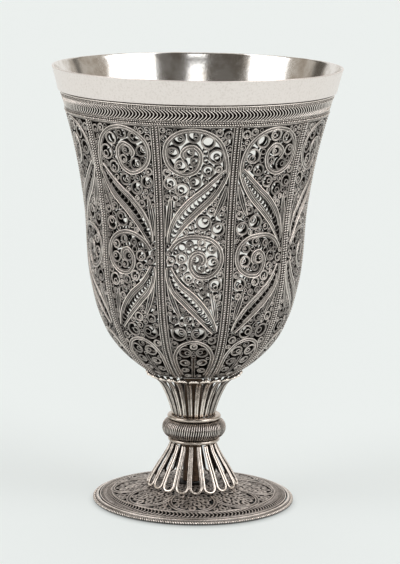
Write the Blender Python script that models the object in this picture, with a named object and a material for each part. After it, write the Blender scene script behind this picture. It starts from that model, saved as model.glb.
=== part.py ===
"""Silver filigree chalice: a plain cup inside an openwork shell, on a stem of wire loops.

Lengths are in millimetres here and become metres as each mesh is made. The chalice
stands upright: its axis is Z, and the underside of its foot is at Z = 0.
"""

import bisect
import math

import bmesh
import bpy

MM = 0.001
GAP = 0.3                   # clearance between neighbouring pieces
ROUND = 40                  # facets around the cup and the foot
STEM_ROUND = 24             # facets around the collars

HEIGHT = 150.0
RIM_RADIUS = 49.0
LIP_WALL = 0.86
LINER_WALL = 0.7

# Outer face of the filigree shell, as (height, radius) up the bell of the bowl
SHELL_OUTLINE = (
    (44.6, 12.6), (46.2, 16.5), (48.0, 19.15), (51.0, 22.8), (56.0, 27.4), (64.0, 31.6),
    (75.0, 34.8), (90.0, 36.4), (106.0, 37.9), (124.0, 41.25), (138.0, 45.1), (142.0, 46.4),
)
SHELL_ROWS = (46.2, 48.6, 52.0, 57.0, 64.0, 76.0, 104.0, 121.0)
SHELL_THICKNESS = 0.9
PANELS = 10
PANEL_TOP = 135.0
PANEL_COLUMNS = 3
RIB_HALF_WIDTH = 1.45
BORDER_TOP = 141.7

BAND_BOTTOM = 142.2
BAND_BOTTOM_RADIUS = 46.95
CUP_FLOOR = 43.3            # underside of the liner on the axis
CUP_FLOOR_RING = (10.0, 1.4)    # radius of a ring on the rounded floor, and its rise

FOOT_RADIUS = 34.7
FOOT_EDGE_INNER = 32.8
FOOT_THICKNESS = 0.8
FOOT_EDGE_HEIGHT = 1.1
FOOT_RISE = 5.2             # rise of the domed foot from its edge to its middle
FOOT_DISC_ROWS = (22.0, 11.0)

ROD_RADIUS = 3.25
ROD_HOLE = ROD_RADIUS + 0.45

# Outer face of the lower flare, and of the upper one, as (height, radius)
FLARE_OUTLINE = (
    (5.0, 16.1), (8.0, 14.6), (12.0, 12.5), (15.0, 10.8), (18.0, 9.1), (20.6, 8.3),
)
CALYX_OUTLINE = (
    (30.4, 7.7), (33.0, 8.3), (36.0, 9.3), (39.0, 10.5), (42.0, 12.2), (43.8, 14.1), (45.2, 15.9),
)

LOWER_COLLAR_BOTTOM = 20.9
KNOP_BOTTOM = 22.4
KNOP_TOP = 28.6
KNOP_CORE = 8.2
KNOP_BULGE = 2.77
UPPER_COLLAR_BOTTOM = 28.9
COLLAR_HEIGHT = 1.2
LOWER_COLLAR_RADIUS = 8.85
UPPER_COLLAR_RADIUS = 9.15


class Outline:
    """A smooth curve through (height, radius) points that gives a radius at any height."""

    def __init__(self, points):
        self.heights = [height for height, _ in points]
        self.radii = [radius for _, radius in points]
        rises = [
            (self.radii[i + 1] - self.radii[i]) / (self.heights[i + 1] - self.heights[i])
            for i in range(len(points) - 1)
        ]
        middle = [
            2 * a * b / (a + b) if a * b > 0 else 0.0 for a, b in zip(rises, rises[1:])
        ]
        self.slopes = [rises[0]] + middle + [rises[-1]]

    def place(self, height):
        last = len(self.heights) - 2
        i = min(max(bisect.bisect_right(self.heights, height) - 1, 0), last)
        span = self.heights[i + 1] - self.heights[i]
        return i, span, (height - self.heights[i]) / span

    def radius(self, height):
        i, span, t = self.place(height)
        start = (1 + 2 * t) * (1 - t) ** 2 * self.radii[i]
        end = t * t * (3 - 2 * t) * self.radii[i + 1]
        bend = t * (1 - t) ** 2 * self.slopes[i] - t * t * (1 - t) * self.slopes[i + 1]
        return start + end + span * bend

    def slope(self, height):
        step = 0.01
        return (self.radius(height + step) - self.radius(height - step)) / (2 * step)

    def inside(self, height, depth):
        """Return (radius, height) of the point this deep below the face, square to it."""
        slope = self.slope(height)
        length = math.hypot(1.0, slope)
        return self.radius(height) - depth / length, height + depth * slope / length


SHELL = Outline(SHELL_OUTLINE)
FLARE = Outline(FLARE_OUTLINE)
CALYX = Outline(CALYX_OUTLINE)


def foot_height(radius):
    """Height of the domed foot's upper face."""
    return FOOT_EDGE_HEIGHT + FOOT_RISE * (1 - (radius / FOOT_RADIUS) ** 2)


def polar(radius, angle, height):
    return (radius * MM * math.cos(angle), radius * MM * math.sin(angle), height * MM)


def material(name, color, roughness):
    finish = bpy.data.materials.new(name)
    finish.use_nodes = True
    shader = finish.node_tree.nodes["Principled BSDF"]
    shader.inputs["Base Color"].default_value = (*color, 1.0)
    shader.inputs["Roughness"].default_value = roughness
    shader.inputs["Metallic"].default_value = 1.0
    return finish


def finished(name, bm, finish, smooth_below=35):
    """Close a bmesh into a named object with its faces pointing out."""
    bmesh.ops.recalc_face_normals(bm, faces=bm.faces)
    mesh = bpy.data.meshes.new(name)
    bm.to_mesh(mesh)
    bm.free()
    mesh.shade_smooth()
    mesh.set_sharp_from_angle(angle=math.radians(smooth_below))
    mesh.materials.append(finish)
    piece = bpy.data.objects.new(name, mesh)
    bpy.context.scene.collection.objects.link(piece)
    return piece


def bridge(bm, first, second, closed=True):
    """Join two rows of vertices with quads, or with triangles where a row is one point."""
    count = max(len(first), len(second))
    for i in range(count if closed else count - 1):
        j = (i + 1) % count
        corners = [first[i % len(first)], first[j % len(first)]]
        corners += [second[j % len(second)], second[i % len(second)]]
        bm.faces.new(list(dict.fromkeys(corners)))


def turned(name, section, facets, finish, closed=True):
    """Turn a section of (radius, height) points about the axis.

    A closed section makes a ring. An open one starts and ends on the axis.
    """
    bm = bmesh.new()
    rows = []
    for radius, height in section:
        if radius == 0:
            rows.append([bm.verts.new((0, 0, height * MM))])
            continue
        turn = [math.tau * k / facets for k in range(facets)]
        rows.append([bm.verts.new(polar(radius, angle, height)) for angle in turn])
    for first, second in zip(rows, rows[1:]):
        bridge(bm, first, second)
    if closed:
        bridge(bm, rows[-1], rows[0])
    return finished(name, bm, finish)


def liner(finish):
    """The plain cup, with a band above the shell and a hollow of even wall inside."""
    depth = SHELL_THICKNESS + 0.5
    wall = depth + LINER_WALL
    floor_radius, floor_rise = CUP_FLOOR_RING
    section = [(0, CUP_FLOOR), (floor_radius, CUP_FLOOR + floor_rise)]
    section += [SHELL.inside(row, depth) for row in SHELL_ROWS]
    section.append((SHELL.radius(BORDER_TOP) - depth, BAND_BOTTOM))
    section.append((BAND_BOTTOM_RADIUS, BAND_BOTTOM))
    section.append((RIM_RADIUS, HEIGHT))
    section.append((RIM_RADIUS - LIP_WALL, HEIGHT))
    section.append((SHELL.radius(BORDER_TOP) - wall, BAND_BOTTOM))
    section += [SHELL.inside(row, wall) for row in reversed(SHELL_ROWS)]
    section.append((floor_radius, CUP_FLOOR + floor_rise + LINER_WALL))
    section.append((0, CUP_FLOOR + LINER_WALL))
    return turned("liner", section, ROUND, finish, closed=False)


def curved_slab(name, middle, half_width, rows, columns, finish):
    """A sector of the shell about an angle, half_width(height) radians to each side."""
    bm = bmesh.new()
    faces = []
    for depth in (0.0, SHELL_THICKNESS):
        grid = []
        for row in rows:
            radius, height = SHELL.inside(row, depth)
            half = half_width(row)
            turns = [middle + half * (2 * k / columns - 1) for k in range(columns + 1)]
            grid.append([bm.verts.new(polar(radius, turn, height)) for turn in turns])
        faces.append(grid)
        for first, second in zip(grid, grid[1:]):
            bridge(bm, first, second, closed=False)
    outer, inner = faces
    bridge(bm, outer[0], inner[0], closed=False)
    bridge(bm, outer[-1], inner[-1], closed=False)
    for side in (0, -1):
        bridge(bm, [row[side] for row in outer], [row[side] for row in inner], closed=False)
    return finished(name, bm, finish)


def shell(finish):
    """Ten framed panels around the liner, with a rib of wire over each seam."""
    pitch = math.tau / PANELS
    rows = SHELL_ROWS + (PANEL_TOP,)

    def panel_half(height):
        return pitch / 2 - (RIB_HALF_WIDTH + GAP) / SHELL.radius(height)

    def rib_half(height):
        return RIB_HALF_WIDTH / SHELL.radius(height)

    front = -math.pi / 2
    for k in range(PANELS):
        middle = front + k * pitch
        number = f"{k + 1:02d}"
        curved_slab("shell_panel_" + number, middle, panel_half, rows, PANEL_COLUMNS, finish)
        curved_slab("shell_rib_" + number, middle + pitch / 2, rib_half, rows, 1, finish)


def shell_border(finish):
    """The band around the top of the panels."""
    section = []
    for height in (PANEL_TOP + GAP, BORDER_TOP):
        section.append((SHELL.radius(height), height))
    for height in (BORDER_TOP, PANEL_TOP + GAP):
        section.append((SHELL.radius(height) - SHELL_THICKNESS, height))
    return turned("shell_border", section, ROUND, finish)


class LoopedFlare:
    """A flared cage of hairpin loops whose neighbouring legs touch.

    Each loop is an opening between two legs. It closes in an arch at its wide end and in
    a plain ring at its narrow end.
    """

    def __init__(self, outline, loops, leg_half, wall, first_angle):
        self.outline = outline
        self.loops = loops
        self.leg_half = leg_half
        self.wall = wall
        self.first_angle = first_angle

    def rows(self, ring_end, ring_start, slot_rows, arch_rows):
        """Return the heights of each row at a pair of legs and at an opening's middle."""
        plain = [(ring_end, ring_end), (ring_start, ring_start)]
        return plain + [(row, row) for row in slot_rows] + list(arch_rows)

    def build(self, name, rows, slots, finish):
        """slots is the first and last row between which the openings are left."""
        bm = bmesh.new()
        pitch = math.tau / self.loops
        skins = []
        for depth in (0.0, self.wall):
            grid = []
            for at_leg, at_middle in rows:
                ring = []
                leg_radius, leg_height = self.outline.inside(at_leg, depth)
                arch_radius, arch_height = self.outline.inside(at_middle, depth)
                half = self.leg_half / self.outline.radius(at_leg)
                for k in range(self.loops):
                    seam = self.first_angle + (k - 0.5) * pitch
                    ring.append(bm.verts.new(polar(leg_radius, seam - half, leg_height)))
                    ring.append(bm.verts.new(polar(leg_radius, seam + half, leg_height)))
                    middle = seam + pitch / 2
                    ring.append(bm.verts.new(polar(arch_radius, middle, arch_height)))
                grid.append(ring)
            skins.append(grid)
            for number, (first, second) in enumerate(zip(grid, grid[1:])):
                open_row = slots[0] <= number < slots[1]
                self.join(bm, first, second, open_row)
        outer, inner = skins
        bridge(bm, outer[0], inner[0])
        bridge(bm, outer[-1], inner[-1])
        self.line_openings(bm, outer, inner, slots)
        unused = [vertex for vertex in bm.verts if not vertex.link_faces]
        bmesh.ops.delete(bm, geom=unused, context="VERTS")
        return finished(name, bm, finish)

    def join(self, bm, first, second, legs_only):
        count = len(first)
        for i in range(count):
            j = (i + 1) % count
            if legs_only and i % 3:
                continue
            bm.faces.new((first[i], first[j], second[j], second[i]))

    def line_openings(self, bm, outer, inner, slots):
        """Wall the sides and both ends of every opening."""
        start, end = slots
        for k in range(self.loops):
            left = 3 * k + 1
            middle = left + 1
            right = (left + 2) % (3 * self.loops)
            for column in (left, right):
                for row in range(start, end):
                    face = (outer[row][column], outer[row + 1][column])
                    bm.faces.new(face + (inner[row + 1][column], inner[row][column]))
            for row in (start, end):
                for a, b in ((left, middle), (middle, right)):
                    face = (outer[row][a], outer[row][b])
                    bm.faces.new(face + (inner[row][b], inner[row][a]))


def calyx(finish):
    """Upper flare: paired hairpins that curl out into small lips under the bowl."""
    cage = LoopedFlare(CALYX, loops=24, leg_half=0.72, wall=1.0, first_angle=-math.pi / 2)
    arches = [(42.2, 43.0), (44.2, 44.6), (44.7, 45.2)]
    rows = cage.rows(30.4, 31.4, (34.5, 38.5), arches)
    return cage.build("calyx", rows, slots=(1, 4), finish=finish)


def stem_flare(finish):
    """Lower flare: long open loops that stand on their round ends."""
    first = -math.pi / 2 + math.radians(6.3)
    cage = LoopedFlare(FLARE, loops=19, leg_half=0.95, wall=0.95, first_angle=first)
    arches = [(8.8, 7.1), (7.6, 6.1)]
    rows = cage.rows(20.6, 18.8, (16.0, 12.0), arches)
    return cage.build("stem_flare", rows, slots=(1, 4), finish=finish)


def knop(finish):
    """Swelling ring between the two flares."""
    steps = 5
    middle = (KNOP_BOTTOM + KNOP_TOP) / 2
    half = (KNOP_TOP - KNOP_BOTTOM) / 2
    section = []
    for k in range(steps + 1):
        turn = math.pi * (k / steps - 0.5)
        radius = KNOP_CORE + KNOP_BULGE * math.cos(turn)
        section.append((radius, middle + half * math.sin(turn)))
    section += [(ROD_HOLE, KNOP_TOP), (ROD_HOLE, KNOP_BOTTOM)]
    return turned("knop", section, ROUND, finish)


def collar(name, bottom, radius, finish):
    """Plain ring with a rounded edge."""
    top = bottom + COLLAR_HEIGHT
    edge = COLLAR_HEIGHT / 4
    section = [
        (ROD_HOLE, bottom), (radius - edge, bottom), (radius, bottom + edge),
        (radius, top - edge), (radius - edge, top), (ROD_HOLE, top),
    ]
    return turned(name, section, STEM_ROUND, finish)


def stem_rod(finish):
    """Rod through the stem, from the foot to the underside of the cup."""
    bottom = foot_height(0) + GAP
    top = CUP_FLOOR - GAP
    section = [(0, bottom), (ROD_RADIUS, bottom), (ROD_RADIUS, top), (0, top)]
    return turned("stem_rod", section, 16, finish, closed=False)


def foot_disc(finish):
    """Domed sheet of the foot, inside its edge."""
    radii = (FOOT_EDGE_INNER - GAP,) + FOOT_DISC_ROWS
    upper = [(radius, foot_height(radius)) for radius in radii]
    lower = [(radius, height - FOOT_THICKNESS) for radius, height in reversed(upper)]
    middle = foot_height(0)
    section = [(0, middle - FOOT_THICKNESS)] + lower + upper + [(0, middle)]
    return turned("foot_disc", section, ROUND, finish, closed=False)


def foot_edge(finish):
    """Flat ring that the chalice stands on, with a rounded outer side."""
    chamfer = 0.4
    top = FOOT_EDGE_HEIGHT + chamfer
    section = [
        (FOOT_EDGE_INNER, 0), (FOOT_RADIUS - chamfer, 0), (FOOT_RADIUS, chamfer),
        (FOOT_RADIUS, FOOT_EDGE_HEIGHT), (FOOT_RADIUS - chamfer, top), (FOOT_EDGE_INNER, top),
    ]
    return turned("foot_edge", section, ROUND, finish)


def main():
    for leftover in list(bpy.data.objects):
        bpy.data.objects.remove(leftover)
    polished = material("polished_silver", (0.84, 0.82, 0.79), 0.16)
    filigree = material("filigree_silver", (0.36, 0.34, 0.32), 0.42)
    wire = material("bright_wire", (0.68, 0.65, 0.61), 0.24)
    old_brass = material("old_brass", (0.17, 0.11, 0.07), 0.5)

    liner(polished)
    shell(filigree)
    shell_border(filigree)
    calyx(wire)
    collar("collar_upper", UPPER_COLLAR_BOTTOM, UPPER_COLLAR_RADIUS, wire)
    knop(filigree)
    collar("collar_lower", LOWER_COLLAR_BOTTOM, LOWER_COLLAR_RADIUS, wire)
    stem_flare(wire)
    stem_rod(old_brass)
    foot_disc(filigree)
    foot_edge(filigree)


main()
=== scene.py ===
"""Silver filigree chalice: the wirework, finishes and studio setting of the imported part.

Lengths are in millimetres and angles in degrees, and both are turned into metres and
radians as a mesh is made. Angles run from the front of the cup (-Y) towards +X.
"""

import math

import bpy
import numpy as np
from mathutils import Matrix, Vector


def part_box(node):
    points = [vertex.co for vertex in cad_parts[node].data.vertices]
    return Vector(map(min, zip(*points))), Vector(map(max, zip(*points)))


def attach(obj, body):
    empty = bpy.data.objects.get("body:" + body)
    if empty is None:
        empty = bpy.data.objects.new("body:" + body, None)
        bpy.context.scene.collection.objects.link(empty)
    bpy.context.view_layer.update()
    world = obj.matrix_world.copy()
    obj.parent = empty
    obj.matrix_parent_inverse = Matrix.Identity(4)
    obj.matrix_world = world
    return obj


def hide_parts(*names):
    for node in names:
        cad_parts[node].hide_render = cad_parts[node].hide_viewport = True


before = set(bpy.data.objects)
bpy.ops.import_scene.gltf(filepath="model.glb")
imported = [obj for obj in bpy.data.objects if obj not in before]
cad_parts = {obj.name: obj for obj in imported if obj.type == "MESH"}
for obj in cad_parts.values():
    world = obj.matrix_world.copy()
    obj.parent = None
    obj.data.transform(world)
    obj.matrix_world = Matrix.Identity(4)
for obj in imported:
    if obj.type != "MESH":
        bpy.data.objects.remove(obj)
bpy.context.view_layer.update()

MM = 0.001
BODY = "root"

PANELS = 10
PANEL_PITCH = 360 / PANELS
PANEL_EDGE = 1.25           # from a rib's middle to the edge of a panel's field
WIRE = 0.38                 # width of a common filigree wire at its foot
WIRE_TOP = 0.55             # width of a wire's crest, as a share of its foot
WIRE_TALL = 0.72            # height of a wire, which is flattened and set on edge
BASE = -0.85                # underside of the wires, from the outer face of the shell
BEAD_SHINE = 1.15           # how bright the tops of beads and round wires are
OFF_AXIS = 0.45             # how far most hand-set pieces stand off the cup's axis


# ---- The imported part


def extent(node):
    """Bottom, top and radius of a CAD node."""
    low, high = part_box(node)
    return low.z / MM, high.z / MM, high.x / MM


def outer_face(node):
    """(height, radius) of a CAD node's rows of vertices that lie on its outer face."""
    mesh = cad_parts[node].data
    co = np.array([vertex.co for vertex in mesh.vertices]) / MM
    places = columns(co[:, 2], np.hypot(co[:, 0], co[:, 1]))
    edges = places[np.array([tuple(edge.vertices) for edge in mesh.edges])]
    order = np.argsort(edges[..., 0], axis=1, kind="stable")[..., None]
    low, high = np.moveaxis(np.take_along_axis(edges, order, axis=1), 1, 0)
    kept = []
    for height, radius in np.unique(places.round(2), axis=0):
        crossed = (low[:, 0] < height - 0.02) & (high[:, 0] > height + 0.02)
        share = (height - low[crossed, 0]) / (high - low)[crossed, 0]
        radii = low[crossed, 1] + share * (high - low)[crossed, 1]
        if len(radii) and radii.max() > radius + 0.05:
            continue
        while kept and height - kept[-1][0] < 0.25 and kept[-1][1] < radius:
            kept.pop()
        if not kept or height - kept[-1][0] > 0.25:
            kept.append((height, radius))
    return kept


def outline(node, upper=False):
    """A node's outer face up to where it is widest, or the rest of it above."""
    points = outer_face(node)
    widest = max(range(len(points)), key=lambda k: points[k][1])
    return points[widest:] if upper else points[: widest + 1]


# ---- Surfaces of revolution and the paths on them


def columns(*values):
    """Numbers or rows of them side by side, as places."""
    return np.stack(np.broadcast_arrays(*values), axis=-1)


def spin(radius, angle, height):
    """Points in space at a radius, an angle in radians from the front, and a height."""
    return columns(radius * np.sin(angle), -radius * np.cos(angle), height)


def turned_rings(section, segments):
    """(radius, height) corners of a section turned about the axis, as rings for a tube."""
    turns = math.tau * np.arange(segments) / segments
    return spin(section[:, 0], turns[:, None], section[:, 1])


def unit(vectors):
    return vectors / np.linalg.norm(vectors, axis=-1)[..., None]


def headings(points, closed):
    """The way ahead at each point of a path in space."""
    if closed:
        return np.roll(points, -1, axis=0) - np.roll(points, 1, axis=0)
    return np.gradient(points, axis=0)


def spline(knots, values, at):
    """A smooth curve through rows of values at rising knots, read at other places."""
    gaps = np.diff(knots)[:, None]
    rises = np.diff(values, axis=0) / gaps
    before, after = gaps[:-1], gaps[1:]
    middle = (after * rises[:-1] + before * rises[1:]) / (before + after)
    slopes = np.concatenate((2 * rises[:1] - middle[:1], middle, 2 * rises[-1:] - middle[-1:]))
    i = np.clip(np.searchsorted(knots, at, side="right") - 1, 0, len(knots) - 2)
    span = gaps[i]
    t = ((at - knots[i]) / span[:, 0])[:, None]
    read = (1 + 2 * t) * (1 - t) ** 2 * values[i] + t * t * (3 - 2 * t) * values[i + 1]
    return read + span * (t * (1 - t) ** 2 * slopes[i] - t * t * (1 - t) * slopes[i + 1])


class Surface:
    """A surface of revolution. A place on it is (angle in degrees, step along its profile)."""

    def __init__(self, steps, radii, heights):
        self.steps, self.radii, self.heights = steps, radii, heights
        self.radius_slope = np.gradient(radii, steps)
        self.height_slope = np.gradient(heights, steps)
        self.stretch = np.hypot(self.radius_slope, self.height_slope)

    @classmethod
    def upright(cls, points):
        """A profile from (height, radius) points, stepped by its height."""
        heights, radii = np.array(points).T
        steps = np.linspace(heights[0] - 1.0, heights[-1] + 1.0, 400)
        return cls(steps, spline(heights, radii[:, None], steps)[:, 0], steps)

    def read(self, step, row):
        return np.interp(step, self.steps, row)

    def radius(self, step):
        return self.read(step, self.radii)

    def metric(self, path):
        """Millimetres across for each degree, and along for each step, at every place."""
        across = np.radians(1) * self.radius(path[:, 1])
        return columns(across, self.read(path[:, 1], self.stretch))

    def place(self, path, lift=0.0):
        """Points in space and their outward normals."""
        angle, step = np.radians(path[:, 0]), path[:, 1]
        normals = unit(spin(self.read(step, self.height_slope), angle,
                            -self.read(step, self.radius_slope)))
        points = spin(self.radius(step), angle, self.read(step, self.heights))
        return points + normals * np.reshape(lift, (-1, 1)), normals


def along(surface, path):
    """Distance from a path's start to each of its places."""
    middles = (path[1:] + path[:-1]) / 2
    legs = np.hypot(*((path[1:] - path[:-1]) * surface.metric(middles)).T)
    return np.concatenate(([0], np.cumsum(legs)))


def walk(at, run, path):
    """The places on a path at some distances from its start, run being its own."""
    return columns(np.interp(at, run, path[:, 0]), np.interp(at, run, path[:, 1]))


def resample(surface, path, pitch):
    run = along(surface, path)
    count = max(3, int(round(run[-1] / pitch)) + 1)
    return walk(np.linspace(0, run[-1], count), run, path)


def smooth(surface, points, pitch=0.6):
    """A smooth path through a few places, stepped evenly."""
    points = np.asarray(points, float)
    knots = along(surface, points)
    fine = spline(knots, points, np.linspace(0, knots[-1], 24 * len(points)))
    return resample(surface, fine, pitch)


def parallel(surface, path, distance):
    """The path moved to its left by a distance, which may change along it."""
    metric = surface.metric(path)
    steps = np.gradient(path, axis=0) * metric
    steps /= np.hypot(*steps.T)[:, None]
    left = columns(-steps[:, 1], steps[:, 0])
    return path + left * np.reshape(distance, (-1, 1)) / metric


def circle(surface, centre, radius, pitch=0.6, least=9, length=1.0):
    """A round or oval path about a place, without its last point where it closes."""
    count = max(least, int(round(math.tau * radius / pitch)))
    turns = np.radians(360 * np.arange(count) / count)
    offsets = radius * columns(np.cos(turns), length * np.sin(turns))
    middle = np.asarray(centre, float)
    first = middle + offsets / surface.metric(np.repeat(middle[None], count, axis=0))
    return middle + offsets / surface.metric((first + middle) / 2)


def around(step, count=240):
    """A path round the whole surface at one step of its profile."""
    return columns(360 * np.arange(count) / count, step)


# ---- Wires


class Wirework:
    """Wires gathered into one mesh, each a closed tube."""

    def __init__(self, name):
        self.name = name
        self.vertices, self.quads, self.uv, self.wire = [], [], [], []
        self.crest, self.tone = [], []
        self.count = 0
        self.run = 0.0
        self.widest = 0.0

    def tube(self, rings, closed=False, tone=0.5, crest=0.0):
        """Join rings of corners (rings, sides, 3) into a tube with capped ends."""
        length, sides = rings.shape[:2]
        middles = rings.mean(axis=1)
        ahead = np.roll(middles, -1, axis=0) if closed else middles[1:]
        legs = np.linalg.norm(ahead - middles[: len(ahead)], axis=1)
        edges = np.linalg.norm(np.roll(rings, -1, axis=1) - rings, axis=2).mean(axis=0)
        starts = np.concatenate(([0], np.cumsum(legs)))
        girth = np.concatenate(([0], np.cumsum(edges)))
        number = self.count + np.arange(length * sides).reshape(length, sides)
        near = number[: len(legs)]
        far = np.roll(number, -1, axis=0)[: len(legs)]
        quads = np.stack((near, far, np.roll(far, -1, axis=1), np.roll(near, -1, axis=1)), axis=2)
        u = columns(starts[:-1], starts[1:], starts[1:], starts[:-1])[:, None]
        v = columns(girth[:-1], girth[:-1], girth[1:], girth[1:])
        self.vertices.append(rings.reshape(-1, 3))
        self.quads.append(quads.reshape(-1, 4))
        self.uv.append((columns(u + self.run, v).reshape(-1, 4, 2),
                        np.repeat(starts[:-1] + self.run, sides)))
        self.wire.append(columns(u, v / girth[-1]).reshape(-1, 4, 2))
        self.run += starts[-1]
        self.widest = max(self.widest, girth[-1])
        if not closed:
            self.cap(number[0], girth[-1], 1)
            self.cap(number[-1], girth[-1], -1)
        self.crest.append(np.broadcast_to(crest, (length, sides)).ravel())
        self.tone.append(np.repeat(np.broadcast_to(tone, (length,)), sides))
        self.count += length * sides

    def cap(self, ring, girth, way):
        """Close the end of a tube with quads across it, facing one way or the other."""
        last = len(ring) - 1
        pieces = np.array([
            (ring[k], ring[k + 1], ring[last - 1 - k], ring[last - k]) for k in range(last // 2)
        ])[:, ::way]
        height = girth / len(pieces)
        size = 0.4
        corners = np.array([(0, 0), (size, 0), (size, height), (0, height)])
        uv = np.stack([corners + (self.run, k * height) for k in range(len(pieces))])
        self.quads.append(pieces)
        self.uv.append((uv, np.full(len(pieces), self.run)))
        self.wire.append(np.zeros((len(pieces), 4, 2)))
        self.run += size

    def lay(self, surface, path, width=WIRE, tall=WIRE_TALL, base=BASE, closed=False,
            tone=0.5, ends=1.0, crest=1.0, top=WIRE_TOP):
        """Lay a wire of upright section along a path on a surface."""
        points, normals = surface.place(path)
        half = np.full((len(path), 1), width / 2)
        if not closed:
            half[[0, -1]] *= ends
        foot = unit(np.cross(headings(points, closed), normals)) * half
        low = points + normals * base
        high = low + normals * tall
        rings = np.stack((low - foot, low + foot, high + foot * top, high - foot * top), axis=1)
        self.tube(rings, closed, tone, (0, 0, crest, crest))

    def round_wire(self, points, radius, up, sides=6, tone=0.5, flat=1.0, wear=0.0):
        """A round wire through points in space, whose crest is on the side towards up."""
        ahead = unit(np.gradient(points, axis=0))
        side = unit(np.cross(ahead, up))
        rise = np.cross(side, ahead)
        turn = math.tau * (np.arange(sides) + 0.5) / sides
        above = np.sin(turn)[None, :, None] * np.reshape(flat, (-1, 1, 1))
        out = side[:, None] * np.cos(turn)[None, :, None] + rise[:, None] * above
        rings = points[:, None] + out * np.reshape(radius, (-1, 1, 1))
        # The crest is brighter on the side towards up, with the added wear on top. This is partly
        # rubbing and oxide in the hollows, and partly painted highlight.
        crest = 0.35 + np.reshape(wear, (-1, 1)) + 0.8 * above[..., 0]
        self.tube(rings, False, tone, np.clip(crest, 0, BEAD_SHINE))

    def beads(self, surface, path, radius, pitch, lift, slant=0.3, closed=False, tone=0.9,
              sides=4, notch=0.2):
        """A rope of twisted wire, whose beads lean along it, lifted off the surface."""
        whole = np.vstack((path, path[:1] + (360, 0))) if closed else path
        run = along(surface, whole)
        count = 4 * max(1, round(run[-1] / pitch))
        at = np.linspace(0, run[-1], count, endpoint=not closed)
        points, normals = surface.place(walk(at, run, whole), lift)
        ahead = unit(headings(points, closed))
        side = unit(np.cross(ahead, normals))
        swell = 0.5 + 0.5 * np.cos(math.tau * np.arange(count) / 4)
        turn = math.tau * np.arange(sides) / sides + math.pi / 2
        across = np.cos(turn)[None, :, None]
        above = np.sin(turn)[None, :, None]
        size = (radius * (0.62 + 0.38 * swell))[:, None, None]
        rings = points[:, None] + (side[:, None] * across + normals[:, None] * above) * size
        rings += ahead[:, None] * across * slant * pitch
        crest = (notch + (BEAD_SHINE - notch) * swell ** 0.3)[:, None]
        self.tube(rings, closed, tone, crest * np.clip(0.94 + 0.3 * above[..., 0], 0, 1))

    def chevrons(self, surface, count, near, far, lean, **settings):
        """A row of bent wires, nested round the surface, each pointing along the row."""
        middle = (near + far) / 2
        half = (far - near) / 2
        for k in range(count):
            angle = 360 * k / count
            points = [(angle + lean * (0.4 - abs(t) ** 1.7), middle + half * t)
                      for t in (-1, -0.6, 0, 0.6, 1)]
            self.lay(surface, smooth(surface, points, pitch=0.5), **settings)

    def finish(self, *materials, finish_of=None):
        """Make the mesh object, with its attributes for wear and painted highlight and shade, and
        its layout for baking.
        """
        mesh = bpy.data.meshes.new(self.name)
        vertices = np.concatenate(self.vertices) * MM
        quads = np.concatenate(self.quads)
        mesh.from_pydata(vertices.tolist(), [], quads.tolist(), shade_flat=False)
        for material in materials:
            mesh.materials.append(material)
        for polygon in mesh.polygons if finish_of else ():
            polygon.material_index = finish_of(polygon.center / MM, polygon.normal)
        for name, values in (("crest", self.crest), ("tone", self.tone)):
            layer = mesh.attributes.new(name, "FLOAT", "POINT")
            layer.data.foreach_set("value", np.concatenate(values))
        wire = np.pad(np.concatenate(self.wire).reshape(-1, 2), ((0, 0), (0, 1)))
        layer = mesh.attributes.new("wire", "FLOAT_VECTOR", "CORNER")
        layer.data.foreach_set("vector", wire.ravel())
        self.bake_layout(mesh)
        return place_piece(self.name, mesh)

    def bake_layout(self, mesh):
        """Pack the tubes' unrolled walls into rows of one square."""
        row = self.widest + 0.25
        side = math.sqrt(self.run * row) * 1.02
        parts = []
        for uv, home in self.uv:
            line = np.floor(home / (side - 2.0))[:, None, None]
            parts.append(uv + line * (2.0 - side, row))
        uv = np.concatenate(parts)
        uv /= max(side, uv[..., 1].max() + 0.25)
        mesh.uv_layers.new(name="OFBake").data.foreach_set("uv", uv.ravel())


def place_piece(name, data):
    piece = bpy.data.objects.new(name, data)
    bpy.context.scene.collection.objects.link(piece)
    return piece


def stands_for(piece, slot, *nodes):
    """Tie a piece to the part's body and hide the CAD nodes it stands for. The material slot is not
    used.
    """
    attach(piece, BODY)
    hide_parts(*nodes)
    return piece


def settle(piece, across=OFF_AXIS):
    """Move a hand-set piece a little off the axis."""
    piece.data.transform(Matrix.Translation((across * MM, 0, 0)))
    return piece


def lathe(name, section, segments, *materials, closed=True, finish_of=None):
    """Turn (radius, height) points about the axis into a smooth closed body."""
    work = Wirework(name)
    rings = turned_rings(np.array(section), segments)
    work.tube(rings if closed else np.swapaxes(rings, 0, 1)[:, ::-1], closed)
    return work.finish(*materials, finish_of=finish_of)


# ---- Materials


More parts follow.
